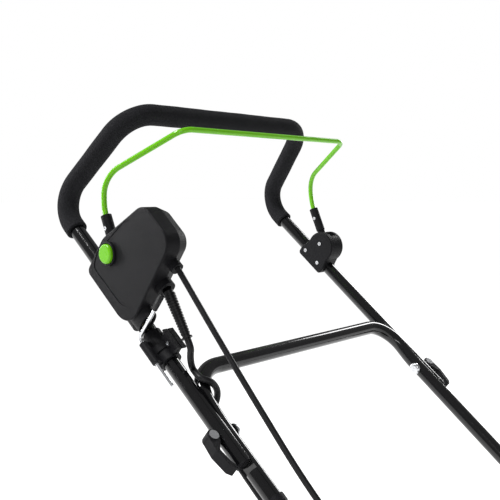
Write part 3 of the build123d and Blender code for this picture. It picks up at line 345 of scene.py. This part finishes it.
def moulded_finish(name, colour, gloss=0.46):
    """Moulded plastic with a spark-eroded texture, soft mottling and light scuffs."""
    made = Finish(name, Specular_IOR_Level=0.1)
    spark = made.grain(1300, 3, 0.65)
    mottle = made.grain(24, 4, 0.6)
    scuff = made.between(made.grain(130, 6, 0.75, (1, 0.25, 0.5)), 0.62, 0.8)
    tone = made.blended(mottle * 0.7 + spark * 0.25, shade(colour, 0.72), shade(colour, 1.3))
    made.colour(made.blended(scuff * 0.16, tone, shade(colour, 3.0)))
    made.rough(gloss + 0.16 * spark - 0.12 * mottle + 0.1 * scuff)
    made.bumps((spark, 0.00022), (made.grain(3600, 2), 0.00006))
    return made.material


def coated_finish(name, colour, gloss=0.3, peel_depth=0.00002):
    """Smooth coloured coating or polished moulding with faint waves and rubbed patches."""
    made = Finish(name, Specular_IOR_Level=0.3, Coat_Roughness=0.1)
    wave = made.grain(140, 3)
    worn = made.between(made.grain(60, 5, 0.7), 0.55, 0.8)
    grime = made.between(made.grain(22, 5, 0.7), 0.56, 0.8)
    tone = made.blended(wave * 0.5 + worn * 0.25, shade(colour, 0.84), shade(colour, 1.1))
    made.colour(made.blended(grime * 0.25, tone, shade(colour, 0.6)))
    made.rough(gloss + 0.1 * worn - 0.05 * wave)
    plug(made.shader.inputs["Coat Weight"], 0.2 - 0.1 * worn)
    made.bumps((wave, peel_depth), (made.grain(900, 2), 0.00001))
    return made.material


def metal_finish(name, colour, gloss, stretch, scale=220):
    """Bare or plated metal with drawn or ground lines and slight tarnish."""
    made = Finish(name, Metallic=1.0)
    lines = made.grain(scale, 4, 0.7, stretch)
    tarnish = made.between(made.grain(45, 5, 0.65), 0.45, 0.75)
    made.colour(made.blended(tarnish * 0.5 + lines * 0.2, shade(colour, 1.08), shade(colour, 0.62)))
    made.rough(gloss + 0.2 * lines * tarnish + 0.08 * lines)
    made.bumps((lines, 0.00003))
    return made.material


def rubber_finish(name, colour):
    """Flexible jacket or belt: dull, slightly ribbed and dusty."""
    made = Finish(name, Specular_IOR_Level=0.25)
    fine = made.grain(800, 3)
    dust = made.between(made.grain(38, 5, 0.7), 0.5, 0.78)
    made.colour(made.blended(dust * 0.3 + fine * 0.2, shade(colour, 0.9), shade(colour, 2.2)))
    made.rough(0.38 + 0.2 * dust + 0.08 * fine)
    made.bumps((fine, 0.00006))
    return made.material


def tyre_finish(name, colour):
    """Tyre rubber with fine moulding grain and dry earth dust."""
    made = Finish(name, Specular_IOR_Level=0.25)
    fine = made.grain(650, 4, 0.7)
    earth = made.between(made.grain(30, 6, 0.75), 0.52, 0.78)
    made.colour(made.blended(earth * 0.5, made.blended(fine, shade(colour, 0.8), shade(colour, 1.8)),
                             (0.06, 0.052, 0.043, 1.0)))
    made.rough(0.62 + 0.2 * earth + 0.1 * fine)
    made.bumps((fine, 0.00018))
    return made.material


STEEL_LINES = (1, 0.02, 1)
FINISHES = {}


def make_finishes(colours):
    """Every finish of the machine, by the record's slot name."""
    black, lime = colours.black, colours.lime
    FINISHES.update({
        "black_tube": tube_finish("gloss_black_tube", shade(black, 0.45)),
        "foam": foam_finish("grip_foam", colours.foam),
        "black_plastic": moulded_finish("black_moulding", shade(black, 1.0)),
        "green_rod": coated_finish("lime_rod_coating", lime, 0.26),
        "green_plastic": coated_finish("lime_button", lime, 0.3),
        "zinc": metal_finish("bright_zinc", (0.72, 0.73, 0.75), 0.16, (1, 1, 1), 500),
        "steel": metal_finish("ground_steel", (0.56, 0.56, 0.57), 0.26, STEEL_LINES),
        "green_steel": coated_finish("lime_enamel", shade(lime, 0.85), 0.34, 0.0001),
        "black_steel": coated_finish("black_enamel", shade(black, 0.8), 0.34, 0.0001),
        "lead_rubber": rubber_finish("lead_jacket", shade(black, 0.7)),
        "belt_rubber": rubber_finish("belt_rubber", shade(black, 1.0)),
        "motor_metal": metal_finish("motor_case", (0.5, 0.51, 0.53), 0.34, (1, 0.1, 1), 160),
        "switch_parts": moulded_finish("switch_moulding", (0.22, 0.2, 0.17), 0.42),
        "inlet_parts": metal_finish("nickel_brass", (0.72, 0.6, 0.36), 0.24, (1, 1, 1), 300),
        "rim_plastic": moulded_finish("rim_moulding", shade(black, 2.2), 0.42),
        "tyre_rubber": tyre_finish("tyre_rubber", black),
        "roller_plastic": moulded_finish("roller_moulding", shade(black, 1.7), 0.4),
    })


def dress(piece, slot, body=None):
    """Gives a new piece the finish of its slot and, when one is given, the body it rides on."""
    piece.data.materials.clear()
    piece.data.materials.append(FINISHES[slot])
    if body:
        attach(piece, body)
    return piece


# ---------------------------------------------------------------- settings a user would change
class MowerSizes(bpy.types.PropertyGroup):
    """Sizes of the pieces that are made around the frame."""

    foam_radius: bpy.props.FloatProperty(
        name="Foam radius", description="Outer radius of the grip", default=0.0158, unit="LENGTH")
    tube_radius: bpy.props.FloatProperty(
        name="Tube radius", description="Outer radius of the handle tube", default=0.011, unit="LENGTH")
    lead_radius: bpy.props.FloatProperty(
        name="Lead radius", description="Radius of the power lead", default=0.0044, unit="LENGTH")
    cable_radius: bpy.props.FloatProperty(
        name="Cable radius", description="Radius of the control cable", default=0.0038, unit="LENGTH")


class MowerColours(bpy.types.PropertyGroup):
    """Base colours of the machine."""

    black: bpy.props.FloatVectorProperty(
        name="Black", description="Base of the black parts", subtype="COLOR", size=3,
        default=(0.008, 0.008, 0.0092))
    lime: bpy.props.FloatVectorProperty(
        name="Lime", description="Bail, button and reel", subtype="COLOR", size=3,
        default=(0.145, 0.5, 0.002))
    foam: bpy.props.FloatVectorProperty(
        name="Foam", description="Handle grip", subtype="COLOR", size=3, default=(0.015, 0.015, 0.017))
    floor: bpy.props.FloatVectorProperty(
        name="Floor", description="Studio floor", subtype="COLOR", size=3, default=(0.9, 0.9, 0.9))


# ---------------------------------------------------------------- stage
CAMERA_ARM = Vector((0.6213, -0.846, 0.2928))  # from the fold bolt to the lens
CAMERA_LOOK = Vector((-0.680, 0.729, -0.083))
LENS_MM = 52.56
SENSOR_MM = 36.0
NEAREST_SEEN = 0.02
AIR_LIGHT = 0.24  # share of the white surroundings that lights the machine
SUN_PATH = (0.35, 0.55, -1.0)
SUN_POWER = 3.4
SUN_SPREAD = 16  # degrees
FLOOR_HALF = 40.0
STRIPS = (  # name, place, what it faces, width and height, power
    ("front_strip", (1.5, -2.0, 1.7), (-0.3, 0, 0.75), (0.3, 1.6), 13),
    ("left_strip", (-2.3, -0.9, 1.5), (-0.3, 0, 0.75), (0.4, 1.8), 30),
    ("back_strip", (-0.6, 2.4, 1.6), (-0.3, 0, 0.7), (0.5, 1.6), 26),
)


def soft_light(name, spot, aim, size, power):
    """Tall rectangular area light."""
    data = bpy.data.lights.new(name, "AREA")
    data.shape = "RECTANGLE"
    data.size, data.size_y = size
    data.energy = power
    lamp = bpy.data.objects.new(name, data)
    lamp.location = spot
    lamp.rotation_euler = (Vector(aim) - Vector(spot)).to_track_quat("-Z", "Y").to_euler()
    bpy.context.scene.collection.objects.link(lamp)


def daylight(direction, strength, spread):
    """Broad soft sun that also whitens the floor."""
    data = bpy.data.lights.new("daylight", "SUN")
    data.energy = strength
    data.angle = math.radians(spread)
    lamp = bpy.data.objects.new("daylight", data)
    lamp.rotation_euler = Vector(direction).to_track_quat("-Z", "Y").to_euler()
    bpy.context.scene.collection.objects.link(lamp)


def studio_air(scene):
    """White surroundings, held back where they only light the machine."""
    world = bpy.data.worlds.new("studio_air")
    world.use_nodes = True
    tree = world.node_tree
    ground = tree.nodes["Background"]
    ground.inputs["Color"].default_value = (1.0, 1.0, 1.0, 1.0)
    seen = tree.nodes.new("ShaderNodeLightPath")
    tone = tree.nodes.new("ShaderNodeMapRange")
    tone.inputs["To Min"].default_value = AIR_LIGHT
    tone.inputs["To Max"].default_value = 1.0
    tree.links.new(seen.outputs["Is Camera Ray"], tone.inputs["Value"])
    tree.links.new(tone.outputs[0], ground.inputs["Strength"])
    scene.world = world


class MOWER_OT_stage(bpy.types.Operator):
    """Makes the floor, the lights and the camera"""

    bl_idname = "mower.stage"
    bl_label = "Studio"

    def execute(self, context):
        scene = context.scene
        floor_finish = Finish("studio_floor", Specular_IOR_Level=0.0)
        cloud = floor_finish.grain(1.5, 2)
        tone = shade(scene.mower_colours.floor, 1.0)
        floor_finish.colour(floor_finish.blended(cloud, tone, shade(tone, 0.985)))
        floor_finish.rough(0.9)
        corners = [(x * FLOOR_HALF, y * FLOOR_HALF, 0) for x, y in ((-1, -1), (1, -1), (1, 1), (-1, 1))]
        floor = new_piece("studio_floor", corners, [(0, 1, 2, 3)], floor_finish.material)
        studio_air(scene)
        daylight(SUN_PATH, SUN_POWER, SUN_SPREAD)
        for strip in STRIPS:
            soft_light(*strip)
        data = bpy.data.cameras.new("camera")
        data.lens = LENS_MM
        data.sensor_width = SENSOR_MM
        data.clip_start = NEAREST_SEEN
        camera = bpy.data.objects.new("camera", data)
        camera.location = FOLD + CAMERA_ARM
        camera.rotation_euler = CAMERA_LOOK.to_track_quat("-Z", "Y").to_euler()
        scene.collection.objects.link(camera)
        scene.camera = camera
        scene.view_settings.view_transform = "Standard"
        return {"FINISHED"}


# ---------------------------------------------------------------- leads
EXIT_SPOT = Vector((0.24113, 0, 0.170))
GLAND_REACH = 0.0163
LEAD_GLAND_Y, CABLE_GLAND_Y = -0.150, -0.112
LEAD_LENGTH, CABLE_LENGTH = 0.744, 0.766
EXIT_DIR = Vector((-0.971, 0, 0.238)).normalized()
RELIEF_START = at(0.1686, 0.0743, -0.240)
RELIEF_END = at(0.1075, 0.0504, -0.238)
RELIEF_DIR = (RELIEF_END - RELIEF_START).normalized()


def gland_tip(y):
    """Where a lead meets its gland on the rear wall of the cover."""
    return EXIT_SPOT + Vector((0, y, 0)) + EXIT_DIR * GLAND_REACH


LEAD_ROUTE = [
    RELIEF_END, RELIEF_END + RELIEF_DIR * 0.013, at(0.0935, 0.034, -0.234), at(0.0888, 0.021, -0.229),
    at(0.0865, 0.0115, -0.222), at(0.074, 0.0175, -0.228), at(0.0645, 0.0205, -0.230),
    at(0.057, 0.0225, -0.221), at(0.0525, 0.0155, -0.211), at(0.0476, 0.0078, -0.2055),
    at(0.042, -0.001, -0.2055), at(0.039, -0.009, -0.208),
    at(0.030, -0.0155, -0.213), at(0.012, -0.0175, -0.220), at(-0.020, -0.017, -0.225),
    at(-0.060, -0.0164, -0.2275), at(-0.110, -0.0164, -0.2282), at(-0.160, -0.0158, -0.2276),
    at(-0.210, -0.0162, -0.2283), at(-0.270, -0.0162, -0.2282), at(-0.330, -0.0164, -0.2264),
    at(-0.380, -0.0164, -0.219), at(-0.430, -0.017, -0.2105), at(-0.470, -0.024, -0.200),
    gland_tip(LEAD_GLAND_Y) + EXIT_DIR * 0.022 + Vector((0, -0.008, 0.008)),
    gland_tip(LEAD_GLAND_Y) + EXIT_DIR * 0.009,
    gland_tip(LEAD_GLAND_Y),
]
CABLE_ROUTE = [
    at(0.1724, 0.111, -0.241), at(0.150, 0.1065, -0.2404), at(0.064, 0.088, -0.2364),
    at(-0.022, 0.068, -0.229), at(-0.120, 0.045, -0.219), at(-0.200, 0.0305, -0.205),
    at(-0.270, 0.021, -0.187), at(-0.330, 0.014, -0.166),
    at(-0.385, 0.005, -0.144), at(-0.430, -0.008, -0.129),
    gland_tip(CABLE_GLAND_Y) + EXIT_DIR * 0.046 + Vector((0, -0.006, 0.022)),
    gland_tip(CABLE_GLAND_Y) + EXIT_DIR * 0.020,
    gland_tip(CABLE_GLAND_Y),
]


def spline_object(name, route, radius):
    """Smooth line through the neighbourhood of its route, as a curve object."""
    curve = bpy.data.curves.new(name, "CURVE")
    curve.dimensions = "3D"
    curve.resolution_u = 10
    curve.bevel_depth = radius
    curve.bevel_resolution = 6
    curve.use_fill_caps = True
    spline = curve.splines.new("NURBS")
    spline.points.add(len(route) - 1)
    for point, spot in zip(spline.points, route):
        point.co = (*spot, 1.0)
    spline.order_u = 3
    spline.use_endpoint_u = True
    line = bpy.data.objects.new(name, curve)
    bpy.context.scene.collection.objects.link(line)
    return line


def as_mesh(line):
    """Plain mesh of an evaluated object."""
    graph = bpy.context.evaluated_depsgraph_get()
    return bpy.data.meshes.new_from_object(line.evaluated_get(graph))


def lead_piece(name, route, radius):
    """Round lead as a mesh tube, with the points of its own line and that line's length."""
    line = spline_object(name + "_line", route, radius)
    skin = as_mesh(line)
    line.data.bevel_depth = 0.0
    line.data.use_fill_caps = False
    bpy.context.view_layer.update()
    centre = as_mesh(line)
    path = [v.co.copy() for v in centre.vertices]
    bpy.data.objects.remove(line)
    skin.name = name
    skin.polygons.foreach_set("use_smooth", [True] * len(skin.polygons))
    piece = bpy.data.objects.new(name, skin)
    bpy.context.scene.collection.objects.link(piece)
    length = sum((b - a).length for a, b in zip(path, path[1:]))
    return piece, path, length


class MOWER_OT_leads(bpy.types.Operator):
    """Makes the power lead and the control cable"""

    bl_idname = "mower.leads"
    bl_label = "Leads"

    def execute(self, context):
        sizes = context.scene.mower_sizes
        jobs = (("power_lead_jacket", "power_lead", LEAD_ROUTE, sizes.lead_radius, LEAD_LENGTH,
                 at(0.060, 0.02, -0.205), at(0.100, 0.038, -0.234)),
                ("control_cable_jacket", "control_cable", CABLE_ROUTE, sizes.cable_radius, CABLE_LENGTH,
                 at(-0.300, 0.05, -0.2), at(0.120, 0.1, -0.24)))
        for name, node, route, radius, length, low, high in jobs:
            piece, path, found = lead_piece(name, route, radius)
            dress(piece, "lead_rubber")
            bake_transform(piece)
            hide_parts(node)
            2 * radius
        return {"FINISHED"}


# ---------------------------------------------------------------- finishes on the frame's own pieces
class MOWER_OT_finishes(bpy.types.Operator):
    """Gives every piece of the frame its finish"""

    bl_idname = "mower.finishes"
    bl_label = "Finishes"

    def execute(self, context):
        make_finishes(context.scene.mower_colours)
        for row in frame["record"]["subparts"]:
            node = frame["nodes"][row["node"]]
            node.data.materials.clear()
            node.data.materials.append(FINISHES[row["material_slot"]])
        return {"FINISHED"}


# ---------------------------------------------------------------- foam grip
HIP = (0.437, 0.0, 0.235)
BAR = (0.422, 0.179, 0.195)
FOAM_START = 0.376
HIP_R = 0.045
BAR_R = 0.055
FOAM_STEP = 0.003
FOAM_EDGE = 0.0012


def sleeve(name, line, outer, inner, ring=48):
    """Closed sleeve along a line: its outside, its end faces and the bore inside."""
    frames = frames_along(line)
    rows = [(frame_at, radius) for frame_at, radius in zip(frames, outer)]
    rows += [(frame_at, inner) for frame_at in reversed(frames)]
    verts, faces = [], []
    for (spot, side, lift), radius in rows:
        for k in range(ring):
            turn = math.tau * k / ring
            verts.append(spot + (side * math.cos(turn) + lift * math.sin(turn)) * radius)
    count = len(rows)
    for row in range(count):
        ahead = (row + 1) % count
        for k in range(ring):
            across = (k + 1) % ring
            faces.append((row * ring + k, row * ring + across, ahead * ring + across, ahead * ring + k))
    return new_piece(name, verts, faces)


class MOWER_OT_grip(bpy.types.Operator):
    """Makes the foam grip round the top of the handle"""

    bl_idname = "mower.grip"
    bl_label = "Foam grip"

    def execute(self, context):
        sizes = context.scene.mower_sizes
        half = [(FOAM_START, 0, LEG_Y), HIP, BAR]
        corners = [at(a, n, -y) for a, n, y in half] + [at(a, n, y) for a, n, y in reversed(half)]
        line = rounded_line(corners, [HIP_R, BAR_R, BAR_R, HIP_R], FOAM_STEP)
        for turn in (0.75, 0.5, 0.25):
            line.insert(1, line[0].lerp(line[1], turn))
            line.insert(-1, line[-1].lerp(line[-2], turn))
        run = [0.0]
        for a, b in zip(line, line[1:]):
            run.append(run[-1] + (b - a).length)
        radii = []
        for gone in run:
            end = min(gone, run[-1] - gone, FOAM_EDGE)
            rounding = FOAM_EDGE - math.sqrt(FOAM_EDGE ** 2 - (FOAM_EDGE - end) ** 2)
            swell = math.sin(gone * 47.0) * 0.00012 + math.sin(gone * 131.0 + 1.0) * 0.00008
            radii.append(sizes.foam_radius - 0.0001 + swell - rounding)
        grip = sleeve("grip_sleeve", line, radii, sizes.tube_radius + 0.0001)
        dress(grip, "foam", "upper_handle")
        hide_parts("foam_grip")
        return {"FINISHED"}


# ---------------------------------------------------------------- springs and the cord guide's cap
SPRINGS = (("button_spring", 0.0006, 5.5), ("bail_return_spring", 0.0009, 3.0))  # node, wire radius, turns


class MOWER_OT_springs(bpy.types.Operator):
    """Winds the button spring and the bail return spring"""

    bl_idname = "mower.springs"
    bl_label = "Springs"

    def execute(self, context):
        axis = Vector((0, 1, 0))
        for node, wire, turns in SPRINGS:
            centre, size = middle(node)
            spring = helix(node + "_coil", centre, axis, size.x / 2 - wire, wire, turns, size.y)
            dress(spring, "zinc", "upper_handle")
            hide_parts(node)
            if node == "button_spring":
                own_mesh(spring)
        return {"FINISHED"}


CAP_LOW, CAP_HIGH = 0.055, 0.0812
CAP_R = 0.0034
GUIDE_BORE = 0.0025
GUIDE_FOOT = (0.158, 0.0, -0.260)
CAP_RING = 32


class MOWER_OT_guide_cap(bpy.types.Operator):
    """Makes the dipped cap on the cord guide's wire"""

    bl_idname = "mower.guide_cap"
    bl_label = "Cord guide cap"

    def execute(self, context):
        profile = [(GUIDE_BORE, CAP_LOW), (CAP_R - 0.0004, CAP_LOW), (CAP_R, CAP_LOW + 0.0006),
                   (CAP_R, CAP_HIGH - 0.0016), (CAP_R - 0.0006, CAP_HIGH - 0.0005),
                   (CAP_R - 0.0016, CAP_HIGH), (0.0, CAP_HIGH), (0.0, CAP_HIGH - 0.001),
                   (GUIDE_BORE, CAP_HIGH - 0.001), (GUIDE_BORE, CAP_LOW)]
        cap = lathe("cord_guide_cap", profile, at(*GUIDE_FOOT), FRONT, CAP_RING)
        dress(cap, "lead_rubber", "cord_guide")
        return {"FINISHED"}


# ---------------------------------------------------------------- tyres
TYRE_HALF = ((0.0922, 0.0132), (0.0950, 0.0138), (0.0985, 0.0132), (0.1012, 0.0110), (0.1028, 0.0075),
             (0.1032, 0.0030))  # radius and distance from the middle
TYRE_PROFILE = [(r, -h) for r, h in TYRE_HALF] + [(0.1034, 0.0)] + list(reversed(TYRE_HALF))
TYRE_PROFILE.append(TYRE_PROFILE[0])
TYRE_RING = 128
TREAD = {"Count": 46, "Radius": 0.10295, "Block": (0.004, 0.0066, 0.0105), "Row Gap": 0.0056, "Slant": 0.42}
BLOCK_STAGGER = 0.0012


def lug_group():
    """Node group that adds slanted tread blocks in two rows round a tyre."""
    group = bpy.data.node_groups.new("tread_blocks", "GeometryNodeTree")
    face = group.interface
    face.new_socket("Geometry", in_out="INPUT", socket_type="NodeSocketGeometry")
    for label, kind in (("Count", "NodeSocketInt"), ("Radius", "NodeSocketFloat"),
                        ("Block", "NodeSocketVector"), ("Centre", "NodeSocketVector"),
                        ("Row Gap", "NodeSocketFloat"), ("Slant", "NodeSocketFloat"),
                        ("Finish", "NodeSocketMaterial")):
        face.new_socket(label, in_out="INPUT", socket_type=kind)
    face.new_socket("Geometry", in_out="OUTPUT", socket_type="NodeSocketGeometry")
    given = group.nodes.new("NodeGroupInput")

    def made(kind, settings=None, sockets=None):
        node = group.nodes.new(kind)
        for label, value in (settings or {}).items():
            setattr(node, label, value)
        for label, value in (sockets or {}).items():
            if isinstance(value, bpy.types.NodeSocket):
                group.links.new(value, node.inputs[label])
            else:
                node.inputs[label].default_value = value
        return node

    circle = made("GeometryNodeMeshCircle", None, {"Vertices": given.outputs["Count"],
                                                   "Radius": given.outputs["Radius"]})
    step = made("ShaderNodeMath", {"operation": "DIVIDE"}, {0: math.tau, 1: given.outputs["Count"]})
    index = made("GeometryNodeInputIndex")
    turn = made("ShaderNodeMath", {"operation": "MULTIPLY"}, {0: index.outputs[0], 1: step.outputs[0]})
    spin = made("ShaderNodeCombineXYZ", None, {"Z": turn.outputs[0]})
    block = made("GeometryNodeMeshCube", None, {"Size": given.outputs["Block"]})
    pair = made("GeometryNodeJoinGeometry")
    for way in (1.0, -1.0):
        lift = made("ShaderNodeMath", {"operation": "MULTIPLY"}, {0: given.outputs["Row Gap"], 1: way})
        place = made("ShaderNodeCombineXYZ", None, {"Y": BLOCK_STAGGER * way, "Z": lift.outputs[0]})
        lean = made("ShaderNodeMath", {"operation": "MULTIPLY"}, {0: given.outputs["Slant"], 1: way})
        angle = made("ShaderNodeCombineXYZ", None, {"X": lean.outputs[0]})
        moved = made("GeometryNodeTransform", None,
                     {"Geometry": block.outputs[0], "Translation": place.outputs[0],
                      "Rotation": angle.outputs[0]})
        group.links.new(moved.outputs[0], pair.inputs[0])
    around = made("GeometryNodeInstanceOnPoints", None,
                  {"Points": circle.outputs[0], "Instance": pair.outputs[0], "Rotation": spin.outputs[0]})
    solid = made("GeometryNodeRealizeInstances", None, {"Geometry": around.outputs[0]})
    stood = made("GeometryNodeTransform", None, {"Geometry": solid.outputs[0],
                                                 "Translation": given.outputs["Centre"],
                                                 "Rotation": (math.pi / 2, 0.0, 0.0)})
    both = made("GeometryNodeJoinGeometry")
    group.links.new(stood.outputs[0], both.inputs[0])
    group.links.new(given.outputs[0], both.inputs[0])
    coated = made("GeometryNodeSetMaterial", None, {"Geometry": both.outputs[0],
                                                    "Material": given.outputs["Finish"]})
    result = group.nodes.new("NodeGroupOutput")
    group.links.new(coated.outputs[0], result.inputs[0])
    return group


def baked(piece, group, values):
    """Runs a node group on a piece with named inputs and keeps the plain mesh."""
    step = piece.modifiers.new("step", "NODES")
    step.node_group = group
    for item in group.interface.items_tree:
        if item.name in values and item.in_out == "INPUT":
            step[item.identifier] = values[item.name]
    bpy.context.view_layer.update()
    mesh = as_mesh(piece)
    piece.modifiers.remove(step)
    piece.data = mesh
    return piece


class MOWER_OT_tyres(bpy.types.Operator):
    """Makes the tyres with their tread blocks"""

    bl_idname = "mower.tyres"
    bl_label = "Tyres"

    def execute(self, context):
        group = lug_group()
        for way in ("right", "left"):
            centre, _ = middle("tyre_" + way)
            tyre = lathe("tread_" + way, TYRE_PROFILE, centre, Vector((0, 1, 0)), TYRE_RING)
            baked(tyre, group, {**TREAD, "Centre": tuple(centre), "Finish": FINISHES["tyre_rubber"]})
            dress(tyre, "tyre_rubber", "wheel_" + way)
            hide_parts("tyre_" + way)
        return {"FINISHED"}


# ---------------------------------------------------------------- panel, registration and the order of work
class MOWER_PT_panel(bpy.types.Panel):
    """Lists the steps in the sidebar"""

    bl_label = "Mower"
    bl_space_type = "VIEW_3D"
    bl_region_type = "UI"
    bl_category = "Mower"

    def draw(self, context):
        for step in STEPS:
            self.layout.operator(step.bl_idname)
        for group in (context.scene.mower_sizes, context.scene.mower_colours):
            for label in group.__annotations__:
                self.layout.prop(group, label)


STEPS = (MOWER_OT_finishes, MOWER_OT_stage, MOWER_OT_leads, MOWER_OT_grip, MOWER_OT_springs,
         MOWER_OT_guide_cap, MOWER_OT_tyres)
CLASSES = (MowerSizes, MowerColours, *STEPS, MOWER_PT_panel)


def register():
    """Registers the classes and hangs the settings on the scene."""
    for item in CLASSES:
        bpy.utils.register_class(item)
    bpy.types.Scene.mower_sizes = bpy.props.PointerProperty(type=MowerSizes)
    bpy.types.Scene.mower_colours = bpy.props.PointerProperty(type=MowerColours)


def unregister():
    """Takes the settings and the classes away again."""
    del bpy.types.Scene.mower_colours
    del bpy.types.Scene.mower_sizes
    for item in reversed(CLASSES):
        bpy.utils.unregister_class(item)


def main():
    """Runs every step in order."""
    register()
    for step in STEPS:
        group, label = step.bl_idname.split(".")
        getattr(getattr(bpy.ops, group), label)()


if __name__ == "__main__":
    main()
